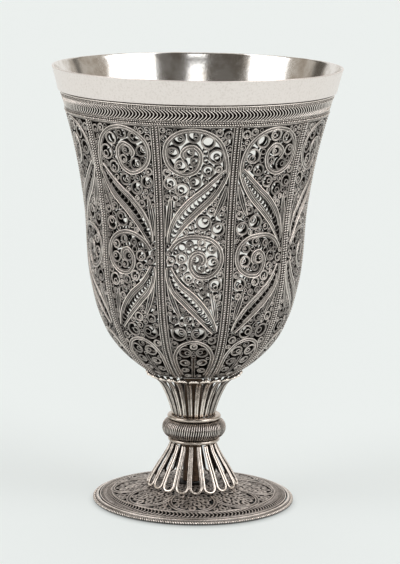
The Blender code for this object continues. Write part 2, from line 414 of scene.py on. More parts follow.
class Nodes:
    """A short way to write a shader's nodes."""

    def __init__(self, owner):
        """owner is a material's name or a world."""
        self.owner = bpy.data.materials.new(owner) if isinstance(owner, str) else owner
        self.owner.use_nodes = True
        self.tree = self.owner.node_tree
        self.shader = self.tree.nodes.get("Principled BSDF")

    def add(self, kind, settings=None, **inputs):
        node = self.tree.nodes.new(kind)
        for key, value in (settings or {}).items():
            setattr(node, key, value)
        for key, value in inputs.items():
            self.feed(node.inputs[key.replace("_", " ")], value)
        return node

    def feed(self, socket, value):
        if isinstance(value, bpy.types.NodeSocket):
            self.tree.links.new(value, socket)
        else:
            socket.default_value = value

    def math(self, operation, *values):
        node = self.add("ShaderNodeMath", {"operation": operation})
        for socket, value in zip(node.inputs, values):
            self.feed(socket, value)
        return node.outputs[0]

    def scaled(self, value, factor, offset):
        return self.math("MULTIPLY_ADD", value, factor, offset)

    def attribute(self, name, output="Fac"):
        return self.add("ShaderNodeAttribute", {"attribute_name": name}).outputs[output]

    def step(self, value, low, high):
        """Nought below one limit and one above the other, with a soft change between."""
        node = self.add("ShaderNodeMapRange", {"interpolation_type": "SMOOTHSTEP"}, Value=value,
                        From_Min=low, From_Max=high)
        return node.outputs[0]

    def window(self, value, low, high, soft):
        """One where a value is between two limits and nought outside, with soft edges."""
        rise, fall = (self.step(value, limit - soft, limit + soft) for limit in (low, high))
        return self.math("SUBTRACT", rise, fall)

    def place(self, output="Object"):
        return self.add("ShaderNodeTexCoord").outputs[output]

    def noise(self, scale, detail, roughness):
        node = self.add("ShaderNodeTexNoise", Vector=self.place(), Scale=scale, Detail=detail,
                        Roughness=roughness)
        return node.outputs[0]

    def ramp(self, factor, *stops):
        """stops are (place, colour)."""
        node = self.add("ShaderNodeValToRGB", Fac=factor)
        elements = node.color_ramp.elements
        for _ in stops[2:]:
            elements.new(0.5)
        for element, (place, colour) in zip(elements, stops):
            element.position = place
            element.color = (*colour, 1.0)
        return node.outputs[0]

    def mix(self, factor, first, second):
        node = self.add("ShaderNodeMix", {"data_type": "RGBA"})
        self.feed(node.inputs["Factor"], factor)
        for name, colour in (("A", first), ("B", second)):
            self.feed(node.inputs[name], (*colour, 1.0) if isinstance(colour, tuple) else colour)
        return node.outputs["Result"]

    def metal(self, colour, rough, height, distance, metallic=1.0):
        """Finish a metal whose bumps are a distance high in millimetres."""
        self.feed(self.shader.inputs["Base Color"], colour)
        self.shader.inputs["Metallic"].default_value = metallic
        self.feed(self.shader.inputs["Roughness"], rough)
        node = self.add("ShaderNodeBump", Height=height, Distance=distance * MM)
        self.feed(self.shader.inputs["Normal"], node.outputs[0])
        return self.owner


DARK_SILVER = (0.012, 0.0095, 0.0085)
LIGHT_SILVER = (0.98, 0.89, 0.82)
# How far the silver is from dark to light, by how much the wire is rubbed and by its painted
# highlight and shade
RUBBED_AND_PAINTED_LIGHT = ((0.04, 0.0), (0.34, 0.08), (0.6, 0.27), (0.76, 0.52), (0.92, 1.0))


def wire_material(name, light, rough_low, rough_high, dark=DARK_SILVER, twist=0.5, notch=0.03,
                  nick=0.12, fall=4.6):
    """Oxidised silver wire: dark in its feet and gaps, bright along its crest. This is partly oxide
    and rubbing, and partly painted shade and painted highlight.

    twist is the pitch in millimetres of the notches that the twisting leaves, nick is how
    much darker they are, and fall how fast the silver darkens below the crest.
    """
    nodes = Nodes(name)
    # The crest sets how bright the silver is: partly rubbing and oxide in the hollows, partly
    # painted highlight on top and painted shade at the feet and sides.
    crest = nodes.math("POWER", nodes.attribute("crest"), fall)
    patches = nodes.noise(260.0, 4.0, 0.6)
    grime = nodes.noise(2600.0, 3.0, 0.6)
    split = nodes.add("ShaderNodeSeparateXYZ", Vector=nodes.attribute("wire", "Vector"))
    turns = nodes.math("ADD", nodes.math("DIVIDE", split.outputs[0], twist), split.outputs[1])
    wave = nodes.math("SINE", nodes.math("MULTIPLY", turns, math.tau))
    wear = nodes.scaled(patches, 0.5, -0.25)
    wear = nodes.math("ADD", wear, nodes.scaled(grime, 0.3, -0.15))
    wear = nodes.math("ADD", wear, nodes.scaled(nodes.attribute("tone"), 0.7, -0.35))
    wear = nodes.math("ADD", wear, nodes.math("MULTIPLY", wave, nick))
    level = nodes.scaled(crest, 0.82, wear)
    stops = [
        (place, tuple(a + share * (b - a) for a, b in zip(dark, light))) for place, share in RUBBED_AND_PAINTED_LIGHT
    ]
    colour = nodes.ramp(nodes.math("MULTIPLY", level, 0.8), *stops)
    rough = nodes.add("ShaderNodeMapRange", Value=level, From_Min=0.2, From_Max=1.1,
                      To_Min=rough_high, To_Max=rough_low)
    height = nodes.scaled(grime, 0.5, nodes.math("MULTIPLY", wave, 0.5))
    return nodes.metal(colour, rough.outputs[0], height, notch)


def polished_silver():
    """Hand-polished silver: bright, with faint cloudy wear and hairline marks."""
    nodes = Nodes("polished_silver")
    cloud = nodes.noise(38.0, 3.0, 0.5)
    fine = nodes.noise(900.0, 2.0, 0.5)
    stain = nodes.noise(120.0, 4.0, 0.6)
    colour = nodes.ramp(stain, (0.36, (0.60, 0.555, 0.50)), (0.56, (0.88, 0.865, 0.84)))
    rough = nodes.scaled(fine, 0.06, nodes.scaled(cloud, 0.1, 0.06))
    return nodes.metal(colour, rough, nodes.scaled(fine, 0.08, cloud), 0.12)


def satin_band():
    """The outer band: pale satin silver with fine specks."""
    nodes = Nodes("satin_band")
    cloud = nodes.noise(60.0, 3.0, 0.55)
    specks = nodes.noise(1500.0, 4.0, 0.7)
    colour = nodes.ramp(specks, (0.36, (0.77, 0.695, 0.645)), (0.5, (0.90, 0.825, 0.785)))
    colour = nodes.mix(nodes.math("MULTIPLY", cloud, 0.4), colour, (0.93, 0.865, 0.825))
    return nodes.metal(colour, nodes.scaled(specks, 0.14, 0.26), specks, 0.012)


def bright_backing_with_painted_shade():
    """The cup's wall behind the openwork, kept bright where no hand can rub it, with painted shade
    on its lower part.
    """
    nodes = Nodes("bright_backing_with_painted_shade")
    cloud = nodes.noise(120.0, 3.0, 0.55)
    colour = nodes.ramp(cloud, (0.3, (0.88, 0.84, 0.80)), (0.7, (0.98, 0.955, 0.925)))
    height = nodes.add("ShaderNodeSeparateXYZ", Vector=nodes.place()).outputs[2]
    # Painted shade: below about 61 mm the wall turns dark brown, and it is bright silver again by
    # 68 mm.
    colour = nodes.mix(nodes.step(height, 61 * MM, 68 * MM), (0.2, 0.17, 0.15), colour)
    return nodes.metal(colour, nodes.scaled(cloud, 0.1, 0.07), cloud, 0.03)


def patchy_material(name, scale, dark, light, light_from, rough, distance, metallic=1.0):
    """Metal in dark and light patches. rough is (change from dark to light, roughness)."""
    nodes = Nodes(name)
    patches = nodes.noise(scale, 4.0, 0.6)
    colour = nodes.ramp(patches, (0.3, dark), (light_from, light))
    return nodes.metal(colour, nodes.scaled(patches, *rough), patches, distance, metallic)


filigree = wire_material("filigree_silver", LIGHT_SILVER, 0.22, 0.5)
frame_wire = wire_material("frame_wire", (0.96, 0.875, 0.81), 0.22, 0.45, nick=0.0)
foot_silver = wire_material("foot_silver", (0.84, 0.755, 0.695), 0.34, 0.55)
bright = wire_material("bright_wire", (0.97, 0.875, 0.79), 0.15, 0.32, (0.03, 0.02, 0.015),
                       twist=3.0, notch=0.006, nick=0.03, fall=1.8)
wound = wire_material("wound_wire", (0.94, 0.85, 0.78), 0.22, 0.45, notch=0.0, nick=0.0, fall=3.4)
polished = polished_silver()
satin = satin_band()
backing = bright_backing_with_painted_shade()
worn = patchy_material("worn_silver", 300.0, (0.30, 0.25, 0.205), (0.72, 0.64, 0.57), 0.62,
                       (-0.2, 0.36), 0.02)
old_brass = patchy_material("old_brass", 420.0, (0.045, 0.028, 0.018), (0.15, 0.095, 0.06), 0.7,
                            (0.25, 0.3), 0.04, 0.85)


# ---- Openwork


class Field:
    """Wires on a surface, and the search for the gaps that they leave."""

    cell = 0.14                 # grid on which gaps are measured
    pitch = 0.1                 # between the places marked along a wire
    largest = 1.6               # largest and smallest round set into a gap
    smallest = 0.7
    inset = 0.0                 # a round is this much smaller than its gap
    overlap = 0.0               # but reaches this much over the wires about it
    rim = 0.1                   # how far a later round may reach into it

    def __init__(self, surface, work, seed):
        self.surface, self.work = surface, work
        self.draw = np.random.default_rng(seed)
        self.traces, self.discs = [], []

    def lay(self, path, closed=False, **settings):
        self.traces.append(np.vstack((path, path[:1])) if closed else path)
        self.put(path, closed=closed, **settings)

    def gaps(self, across, up, blocked):
        """(x, y, size) of the widest gap left on a grid, over and over, each then filled."""
        for path in self.traces:
            x, y = self.flat(*resample(self.surface, path, self.pitch).T)
            i = ((x - across[0]) / self.cell).round().astype(int)
            j = ((y - up[0]) / self.cell).round().astype(int)
            inside = (j >= 0) & (j < len(up)) & (i >= 0) & (i < len(across))
            blocked[j[inside], i[inside]] = True
        for angle, step, radius in self.discs:
            x, y = self.flat(angle, step)
            blocked |= np.hypot(across - x, up[:, None] - y) < radius
        clear = distance_to(blocked, int(self.largest / self.cell) + 4) * self.cell
        while True:
            row, column = np.unravel_index(np.argmax(clear), clear.shape)
            size = min(clear[row, column] - self.inset + self.overlap, self.largest)
            if size < self.smallest:
                return
            x, y = across[column], up[row]
            yield x, y, size
            clear = np.minimum(clear, np.hypot(across - x, up[:, None] - y) - size + self.rim)


def distance_to(blocked, reach):
    """Distance in cells from each cell to the nearest blocked one, up to a reach."""
    place = np.arange(blocked.shape[1])
    last = np.maximum.accumulate(np.where(blocked, place, -np.inf), axis=1)
    next_one = np.minimum.accumulate(np.where(blocked, place, np.inf)[:, ::-1], axis=1)[:, ::-1]
    flat = np.minimum(reach, np.minimum(place - last, next_one - place))
    tall = np.pad(flat, ((reach, reach), (0, 0)))
    nearest = flat ** 2
    for shift in range(-reach, reach + 1):
        nearest = np.minimum(nearest, tall[reach + shift:][: len(flat)] ** 2 + shift ** 2)
    return np.sqrt(nearest)


# ---- The openwork shell

SHELL_WALL = 0.9

panel_points = outline("shell_panel_01")
border_points = outer_face("shell_border")
SHELL = Surface.upright(panel_points + border_points[-1:])
PANEL_LOW = panel_points[0][0] - 0.5
PANEL_HIGH = panel_points[-1][0]
BORDER_HIGH = border_points[-1][0]

# The scrolls and leaves of a panel, as (degrees from its middle, height)
UPPER_SCROLL = (
    (15.2, 119.0), (14.2, 125.5), (10.6, 130.3), (4.5, 133.3), (-2.5, 134.0), (-9.5, 132.3),
    (-13.8, 129.0), (-15.0, 125.3), (-13.6, 121.6), (-10.0, 119.0), (-4.4, 117.9), (0.2, 119.4),
    (2.7, 122.6), (2.4, 126.2), (-1.5, 128.6), (-5.3, 127.6), (-7.2, 125.4), (-5.6, 123.4),
)
UPPER_LEAF = ((14.6, 120.2), (6.4, 112.4), (-2.0, 107.2), (-8.6, 101.8), (-12.8, 95.4))
LOWER_SCROLL = (
    (-13.6, 93.0), (-10.6, 95.8), (-5.2, 98.0), (1.5, 98.5), (8.4, 97.4), (13.4, 94.2),
    (14.9, 90.4), (12.9, 86.6), (7.3, 84.0), (0.6, 84.1), (-3.0, 87.2), (-2.6, 91.1),
    (1.2, 93.1), (4.9, 92.0), (5.7, 89.6), (4.0, 88.2),
)
LOWER_LEAF = ((-13.5, 87.5), (-9.6, 80.5), (-3.1, 76.4), (5.4, 70.9), (12.2, 64.8))

# Rings with an inner curl, as (angle, height, radius, direction of the curl)
RINGS = (
    (-7.9, 130.4, 2.4, 20), (-1.1, 131.4, 2.3, -10), (5.2, 129.4, 2.45, None),
    (9.3, 124.6, 2.8, -70), (5.6, 119.9, 2.3, -80), (-10.6, 125.8, 2.2, 140),
    (-6.9, 121.4, 2.3, 180), (-2.8, 126.0, 1.8, 0), (-0.6, 122.8, 1.6, 230),
    (-12.2, 115.6, 2.35, -120), (-6.4, 113.4, 2.45, 240), (-0.3, 116.0, 2.2, 190),
    (-13.7, 110.6, 1.4, 100), (-8.6, 108.2, 1.4, 100), (14.0, 131.9, 1.6, -90),
    (14.9, 127.6, 1.1, -60), (-14.4, 133.2, 1.1, 0),
    (4.3, 102.4, 2.7, 50), (11.6, 100.4, 2.45, 80), (8.2, 106.4, 1.45, 30),
    (13.4, 105.0, 1.5, 60), (-2.2, 100.6, 1.2, 20), (14.4, 96.2, 0.9, 0),
    (-2.8, 95.0, 1.35, 200), (3.4, 95.7, 1.55, 160), (8.7, 93.6, 1.65, 0),
    (9.1, 89.2, 2.1, 20), (-6.9, 90.6, 2.0, -100), (-6.2, 87.0, 1.5, 180),
    (-3.1, 83.9, 1.9, -90), (0.7, 90.0, 1.85, 170), (3.2, 87.3, 1.55, -40),
    (2.2, 82.2, 1.7, -40), (11.2, 81.6, 2.3, -100), (4.8, 78.7, 1.35, 100),
    (12.0, 77.4, 1.3, 60),
    (-11.0, 69.4, 1.75, -90), (-3.0, 69.5, 1.8, 200), (-13.2, 73.4, 0.9, 90),
    (-6.0, 73.0, 0.9, 60), (-8.8, 64.4, 2.8, 10), (3.1, 64.5, 2.75, 180),
    (-5.7, 57.3, 2.35, 0), (5.7, 57.4, 2.35, 180), (-6.4, 53.3, 1.85, 0),
    (6.4, 53.4, 1.85, 180), (-6.8, 50.0, 1.5, 0), (6.8, 50.0, 1.5, 180),
)
# The arch at a panel's foot
CARTOUCHE = (
    (-12.8, 47.6), (-14.4, 52.0), (-13.2, 56.8), (-8.0, 60.5), (-0.2, 62.0), (7.8, 60.6),
    (13.2, 57.0), (14.4, 52.0), (12.8, 47.6),
)
# Short blades beside the leaves, as places along their middles and the half-width
BLADES = (
    (((-12.2, 110.6), (-13.6, 104.0), (-14.6, 97.5)), 0.8),
    (((15.0, 115.0), (12.6, 109.5), (9.6, 104.6)), 0.8),
    (((9.0, 79.0), (11.2, 74.0), (12.8, 69.2)), 0.8),
    (((-14.0, 81.5), (-11.6, 75.8), (-7.8, 70.4)), 0.8),
)
RING_GROWTH = 0.98
# Wires of a scroll and of the arch, as (distance inward, tone)
SCROLL_WIRES = ((0, 1.0), (0.47, 0.45), (0.9, 0.8), (1.33, 0.35))
ARCH_WIRES = ((0, 1.0), (0.46, 0.5), (0.9, 0.9))
# Leaves: half the width of the open middle, the pitch of the ties across it, the distance
# between wires, and how bright they are from the edge inward
LEAF_CHANNEL = 0.68
LEAF_TIES = 1.7
LEAF_PITCH = 0.58
LEAF_TONES = (1.05, 0.62, 0.74, 0.66)
# Inside the scrolls the gaps get no more rings, as (angle, height, radius)
SCROLL_ROOM = ((-1.0, 126.0, 9.0), (2.0, 91.0, 7.0))


class Panel(Field):
    """One framed panel of the shell: scrolls, leaves, rings and small filling curls."""

    def __init__(self, number):
        self.node = f"shell_panel_{number + 1:02d}"
        self.heading = number * PANEL_PITCH
        self.mirror = -1 if number % 2 else 1
        super().__init__(SHELL, Wirework(self.node + "_filigree"), 71 + number)

    def flat(self, angle, height):
        """Millimetres across and up, as if the panel were flat."""
        return np.radians(angle) * SHELL.radius(height), height

    def put(self, path, **settings):
        """Lay a wire, its path turned to the panel's own place around the cup."""
        placed = path * (self.mirror, 1) + (self.heading, 0)
        self.work.lay(SHELL, placed[:: self.mirror], **settings)

    def wobble(self, points, amount):
        """Small hand-made shifts of the places, in millimetres."""
        points = np.asarray(points, float)
        shift = self.draw.normal(0, amount, points.shape)
        return points + shift / SHELL.metric(points)

    def edge(self, height):
        """Angle from the middle to the edge of the field."""
        return PANEL_PITCH / 2 - np.degrees(PANEL_EDGE / SHELL.radius(height))

    def wire(self, path, tone, **settings):
        """One wire of a band. The bright ones stand higher than the dull ones between them."""
        self.lay(path, tall=WIRE_TALL + 0.35 * (tone - 0.5), ends=0.6,
                 tone=tone + self.draw.uniform(-0.06, 0.06), **settings)

    def band(self, points, amount, wires, side):
        """Wires next to one another, to the left of a curve or with side -1 to its right."""
        path = smooth(SHELL, self.wobble(points, amount))
        for offset, tone in wires:
            wide = {"width": 0.44, "top": 0.8} if tone < 0.7 else {"width": 0.5, "top": 0.5}
            self.wire(parallel(SHELL, path, side * offset), tone, **wide)

    def ring(self, angle, height, radius, curl):
        """A round of doubled wire with a curl tucked inside it."""
        centre = self.wobble([(angle, height)], 0.06)[0]
        radius = radius * self.draw.uniform(0.97, 1.03)
        tone = self.draw.uniform(0.38, 0.75)
        self.discs.append((*centre, radius))
        outer = radius - WIRE / 2
        self.lay(circle(SHELL, centre, outer), True, tone=tone + 0.1, tall=0.8, width=0.48, top=0.5)
        if radius > 1.25:
            outer -= 0.3
            self.lay(circle(SHELL, centre, outer), True, tone=tone, width=0.46, top=0.54)
        if curl is None:
            return
        hollow = outer - WIRE / 2
        bead = max(0.26, hollow * 0.6 - WIRE / 2)
        direction = np.radians(curl + self.draw.uniform(-12, 12))
        shift = (hollow - bead - WIRE * 0.4) * np.array((np.cos(direction), np.sin(direction)))
        middle = centre + shift / SHELL.metric(centre[None])[0]
        self.lay(circle(SHELL, middle, bead), True, tall=0.75, tone=tone + 0.2)

    def leaf(self, points, half):
        """A pointed leaf of wires along both edges, with slanted ties down its middle."""
        spine = smooth(SHELL, self.wobble(points, 0.08), pitch=0.65)
        run = along(SHELL, spine)
        share = run / run[-1]
        swell = half * np.sin(np.pi * np.clip(share * 0.94 + 0.03, 0, 1)) ** 0.55
        gap = LEAF_CHANNEL * np.minimum(1, 0.55 + 0.8 * share)
        gap = gap * np.minimum(1, np.minimum(share, 1 - share) * 8)
        for side in (-1, 1):
            for k, tone in enumerate(LEAF_TONES):
                offset = swell - k * LEAF_PITCH
                kept = np.flatnonzero(offset > gap + 0.12)
                if len(kept) < 6:
                    continue
                part = slice(kept[0], kept[-1] + 1)
                path = parallel(SHELL, spine, side * offset)[part]
                self.wire(path, tone, top=0.55, width=0.54)
        self.ties(spine, run, gap + 0.15)
        for (angle, height), reach in zip(spine, gap):
            self.discs.append((angle, height, reach + 0.3))

    def ties(self, spine, run, reach):
        """Short bent wires across the open middle of a leaf, pointing to its lower end."""
        left = parallel(SHELL, spine, reach)
        right = parallel(SHELL, spine, -reach)
        for at in np.arange(2.0, run[-1] - 1.6, LEAF_TIES):
            bend = (walk(at, run, left), walk(at + 0.5, run, spine), walk(at, run, right))
            self.lay(smooth(SHELL, bend, pitch=0.4), width=0.3, top=0.6,
                     tone=self.draw.uniform(0.2, 0.6))

    def blade(self, points, half):
        """A narrow tapering strip of three wires."""
        spine = smooth(SHELL, self.wobble(points, 0.06))
        run = along(SHELL, spine)
        swell = half * (0.35 + 0.65 * np.sin(np.pi * np.clip(run / run[-1], 0.05, 0.95)))
        for side, tone in ((-1, 0.9), (0, 0.6), (1, 0.8)):
            self.wire(parallel(SHELL, spine, side * swell), tone)

    def border(self):
        """The plain wires that frame the field."""
        heights = np.linspace(PANEL_LOW + 0.3, PANEL_HIGH - 0.35, 120)
        for side in (-1, 1):
            edge = self.edge(heights) - np.degrees(0.2 / SHELL.radius(heights))
            self.wire(columns(side * edge, heights), 0.8)
        for height, tone in ((PANEL_HIGH - 0.3, 0.75), (PANEL_HIGH - 0.75, 0.3),
                             (PANEL_LOW + 0.25, 0.75)):
            edge = self.edge(height)
            self.wire(columns(np.linspace(-edge, edge, 24), height), tone)

    def fill(self):
        """Close the gaps that are left, the widest first, with rings and plain rounds."""
        heights = np.arange(PANEL_LOW, PANEL_HIGH, self.cell)
        half = (self.edge(PANEL_HIGH) + 1) * np.radians(1) * SHELL.radius(PANEL_HIGH)
        across = np.arange(-half, half, self.cell)
        room = self.edge(heights) * np.radians(1) * SHELL.radius(heights)
        blocked = np.abs(across) > (room - 0.2)[:, None]
        for x, height, size in self.gaps(across, heights, blocked):
            angle = np.degrees(x / SHELL.radius(height))
            crowded = False
            for scroll_angle, scroll_height, reach in SCROLL_ROOM:
                away, level = self.flat(scroll_angle, scroll_height)
                crowded = crowded or np.hypot(x - away, height - level) < reach
            if size > 0.95 and not crowded:
                self.ring(angle, height, size - 0.05, self.draw.uniform(0, 360))
            elif size > 0.85 or not crowded:
                path = circle(SHELL, (angle, height), size - 0.2, least=8)
                self.lay(path, True, width=0.42, top=0.6, tone=self.draw.uniform(0.3, 0.75))

    def build(self):
        self.border()
        self.band(UPPER_SCROLL, 0.08, SCROLL_WIRES, 1)
        self.band(LOWER_SCROLL, 0.08, SCROLL_WIRES, -1)
        self.leaf(UPPER_LEAF, 2.95)
        self.leaf(LOWER_LEAF, 2.75)
        self.band(CARTOUCHE, 0.05, ARCH_WIRES, -1)
        for angle in (-1.1, 1.1):
            self.wire(columns(angle, np.linspace(55.2, PANEL_LOW + 0.4, 12)), 0.7)
        for points, half in BLADES:
            self.blade(points, half)
        for angle, height, radius, curl in RINGS:
            self.ring(angle, height, radius * RING_GROWTH, curl)
        self.fill()
        return stands_for(self.work.finish(filigree), "filigree_silver", self.node)


def rib(number):
    """Two ropes of twisted wire over a flat strip, on the seam between two panels."""
    name = f"shell_rib_{number + 1:02d}"
    work = Wirework(name + "_ropes")
    middle = (number + 0.5) * PANEL_PITCH
    heights = np.linspace(PANEL_LOW + 0.1, PANEL_HIGH - 0.1, 120)

    def line(offset):
        return columns(middle + np.degrees(offset / SHELL.radius(heights)), heights)

    work.lay(SHELL, line(0.0), width=2.0, tall=0.45, tone=0.45, top=0.95)
    for offset, tone in ((-0.6, 1.0), (0.6, 0.9)):
        work.beads(SHELL, line(offset), radius=0.43, pitch=0.82, lift=0.0, tone=tone)
    return stands_for(work.finish(frame_wire), "filigree_silver", name)


# The band over the panels: plain wires as (height, width, tone) and ropes of twisted wire
# as (height, radius, pitch, tone)
BORDER_WIRES = ((141.38, 0.62, 1.05), (136.5, 0.36, 0.75), (134.7, 0.4, 0.8))
BORDER_ROPES = (
    (140.83, 0.28, 0.8, 1.0), (140.38, 0.28, 0.8, 0.9), (136.02, 0.3, 0.78, 0.9),
    (135.36, 0.42, 0.84, 1.1),
)


def border():
    """The band over the panels: chevrons of bent wire between rows of twisted wire."""
    work = Wirework("shell_border_chevrons")
    for height, width, tone in BORDER_WIRES:
        work.lay(SHELL, around(height), width, 0.8, -0.8, closed=True, tone=tone)
    for height, radius, pitch, tone in BORDER_ROPES:
        work.beads(SHELL, around(height), radius, pitch, radius - 0.4, closed=True, tone=tone)
    # A dark strip under the chevrons keeps their gaps black: painted shade.
    work.lay(SHELL, around(138.3), width=6.8, tall=0.57, base=-0.95, closed=True, tone=0.1,
             crest=0.0)
    work.chevrons(SHELL, count=232, near=136.65, far=140.2, lean=2.4, width=0.4, tall=0.85,
                  tone=0.95, crest=1.05)
    return stands_for(work.finish(frame_wire), "filigree_silver", "shell_border")


# ---- The plain cup

BAND_LOW = 142.0            # lower edge of the satin band
BAND_RADIUS = 46.95
CUP_WALL = 0.7
CUP_BACK = SHELL_WALL + 0.5     # outside of the cup, from the outer face of the shell
# Behind the border the cup comes out close to the wires, to leave room for its flare
BACK_HEIGHTS = (131.0, 137.0, BORDER_HIGH)
BACK_DEPTHS = (CUP_BACK, 1.0, 0.84)
EASE_FROM = 112.0           # above this the inside leaves the shell's line for the lip


def liner():
    """The plain cup, with a satin band outside its lip and a mirror finish inside."""
    bottom, top, rim = extent("liner")
    heights = np.linspace(PANEL_LOW, BORDER_HIGH, 46)
    radii = SHELL.radius(heights)
    slopes = np.gradient(radii, heights)
    length = np.hypot(1, slopes)

    def face(depth, limit):
        points = columns(radii - depth / length, heights + depth * slopes / length)
        return points[points[:, 1] < limit].tolist()

    def bowl(edge, low, shares):
        """A rounded bottom from the axis to an edge."""
        return [(edge[0] * t, low + (edge[1] - low) * t ** 2.4) for t in shares]

    outer = face(np.interp(heights, BACK_HEIGHTS, BACK_DEPTHS), BAND_LOW - 0.05)
    inner = face(CUP_BACK + CUP_WALL, EASE_FROM)[::-1]
    step = outer[-1][0] + 0.6
    section = bowl(outer[0], bottom, np.linspace(0.03, 0.97, 14)) + outer
    section += [(step, BAND_LOW), (step + 0.4, BAND_LOW - 0.02), (BAND_RADIUS - 0.3, BAND_LOW),
                (BAND_RADIUS - 0.05, BAND_LOW + 0.08)]
    for height in np.linspace(BAND_LOW + 0.25, top - 0.35, 9):
        flare = (height - BAND_LOW) / (top - BAND_LOW)
        section.append((BAND_RADIUS + (rim - BAND_RADIUS) * flare ** 1.1, height))
    lip = ((0, 0.25), (0.12, 0.04), (0.35, 0), (0.62, 0.03), (0.8, 0.25))
    section += [(rim - inward, top - down) for inward, down in lip]
    (radius, height), (lower_radius, lower_height) = inner[:2]
    slope = (radius - lower_radius) / (height - lower_height)
    climb = top - 0.6 - height
    curve = (rim - 0.92 - radius - slope * climb) / climb ** 2
    for share in np.linspace(1.0, 0.03, 24):
        rise = share * climb
        section.append((radius + slope * rise + curve * rise ** 2, height + rise))
    section += inner + bowl(inner[-1], bottom + CUP_WALL, np.linspace(0.97, 0.03, 14))

    def finish_of(centre, normal):
        outward = normal.x * centre.x + normal.y * centre.y > 0
        if outward and centre.z > BAND_LOW - 1.0:
            return 1
        return 2 if outward and centre.z > bottom + 2.0 else 0

    piece = lathe("liner_cup", section, 112, polished, satin, backing, closed=False,
                  finish_of=finish_of)
    return stands_for(piece, "polished_silver", "liner")


# ---- The stem


def hairpins(node, across, plain_end, loops, first, bend, reach, radius, thin, spread, tilt=0.0,
             upper=False):
    """Bent wires round the stem: two straight legs each, that meet in a round end.

    plain_end is where both legs start, bend where the round end begins, and reach how
    far it goes on, with its sign. radius is a leg's, and thin the round end's. The legs
    stand off the surface by spread where they bend, and the round end by tilt more.
    """
    work = Wirework(node + "_loops")
    surface = Surface.upright(outline(node, upper))
    pitch = 360 / loops
    draw = np.random.default_rng(loops)
    turns = np.radians(np.linspace(0, 180, 13))[1:-1]
    arch_half = np.sign(np.cos(turns)) * np.abs(np.cos(turns)) ** 0.9
    for k in range(loops):
        middle = first + k * pitch + draw.normal(0, 0.012) * pitch
        stretch = reach * draw.uniform(0.94, 1.06)
        start = bend + draw.normal(0, 0.12)
        steps = np.linspace(plain_end, start, 22)
        leg = radius * (0.76 + 0.24 * (steps - plain_end) / (start - plain_end))
        half = pitch / 2 - np.degrees(leg * 1.02 / surface.radius(steps))
        arch = columns(half[-1] * arch_half, start + stretch * np.sin(turns))
        path = np.vstack((columns(half, steps), arch, columns(-half, steps)[::-1])) + (middle, 0)
        share = np.clip((path[:, 1] - bend) / reach, 0, 1)
        opening = np.clip((path[:, 1] - plain_end) / (bend - plain_end), 0, 1)
        points, normals = surface.place(path, spread * opening - radius + tilt * share ** 2)
        thick = radius * (0.76 + 0.24 * opening) + (thin - radius) * np.sqrt(share)
        # More tone and wear towards the round ends paint a highlight on the lips and arches.
        work.round_wire(points, thick * draw.uniform(0.95, 1.04), up=normals, sides=8,
                        tone=draw.uniform(0.65, 1.25) + 0.4 * share,
                        flat=0.7 + 0.3 * share, wear=0.1 + 0.4 * share)
    return stands_for(settle(work.finish(bright), across), "bright_wire", node)


def calyx():
    """Upper flare: slim hairpins that curl out into lips under the bowl."""
    hairpins("calyx", 0.15, plain_end=extent("calyx")[0] - 0.2, loops=24, first=0.0, bend=43.7,
             reach=1.5, radius=0.45, thin=0.6, spread=0.4, tilt=0.4)


def stem_flare():
    """Lower flare: long open loops that stand on their round ends."""
    hairpins("stem_flare", 0.25, plain_end=extent("stem_flare")[1] - 0.05, loops=19, first=4.8,
             bend=7.7, reach=-1.75, radius=0.52, thin=0.42, spread=0.45, upper=True)


KNOP_WIRES = 84
KNOP_WIRE = 0.29            # radius of a winding
KNOP_SLANT = 7.0


def knop():
    """Swelling ring wound with slanted wires."""
    bottom, top, widest = extent("knop")
    middle = (bottom + top) / 2
    half = (top - bottom) / 2 - KNOP_WIRE * 0.9
    core = outer_face("knop")[0][1]
    bulge = widest - core - KNOP_WIRE * 0.5
    work = Wirework("knop_windings")
    draw = np.random.default_rng(5)
    turns = np.radians(np.linspace(-88, 88, 28))
    for k in range(KNOP_WIRES):
        twist = KNOP_SLANT * turns / math.pi + draw.normal(0, 0.12)
        angle = np.radians(360 * k / KNOP_WIRES + twist)
        points = spin(core + bulge * np.cos(turns), angle, middle + half * np.sin(turns))
        normals = spin(np.cos(turns), angle, np.sin(turns))
        work.round_wire(points, KNOP_WIRE, up=normals, tone=draw.uniform(0.5, 0.95))
    turns = np.radians(np.linspace(-90, 90, 10))
    section = [
        (core - 0.3 + (bulge - 0.15) * math.cos(t), middle + half * math.sin(t)) for t in turns
    ]
    section += [(core - 4.0, middle + half), (core - 4.0, middle - half)]
    work.tube(turned_rings(np.array(section), 96), closed=True, tone=0.1)
    return stands_for(settle(work.finish(wound)), "filigree_silver", "knop")


def collar(node):
    """Plain ring, rounded by wear."""
    bottom, top, rim = extent(node)
    bottom, top, rim = bottom - 0.1, top + 0.1, rim + 0.1
    half = (top - bottom) / 2
    hole = 4.2
    section = [(hole, bottom)]
    for turn in np.radians(np.linspace(-90, 90, 11)):
        height = (top + bottom) / 2 + half * math.sin(turn)
        section.append((rim - half + half * math.cos(turn), height))
    section.append((hole, top))
    piece = settle(lathe(node + "_ring", section, 96, worn))
    return stands_for(piece, "bright_wire", node)


def stem_rod():
    """Brown rod inside the stem, with fine worn threads."""
    bottom, top, radius = extent("stem_rod")
    pitch = 0.7
    depth = 0.07
    heights = np.linspace(bottom, top, int((top - bottom) / (pitch / 4)))
    section = [(radius - depth + depth * math.cos(math.tau * z / pitch), z) for z in heights]
    piece = lathe("stem_rod_threaded", section, 40, old_brass, closed=False)
    return stands_for(piece, "old_brass", "stem_rod")


# ---- The foot

# Plain rings of wire round the foot, as (radius, width, tone)
FOOT_WIRES = ((32.05, 0.6, 0.9), (31.55, 0.42, 0.5), (28.15, 0.5, 1.05), (27.7, 0.4, 0.5))
LOBES = 8
# Half of a lobe's outline, as (share of its half width, radius)
LOBE = ((1.0, 16.8), (0.93, 21.5), (0.6, 25.4), (0.0, 27.3))
LOBE_WIRES = ((0, 0.95), (-0.5, 0.4), (-1.0, 0.9))
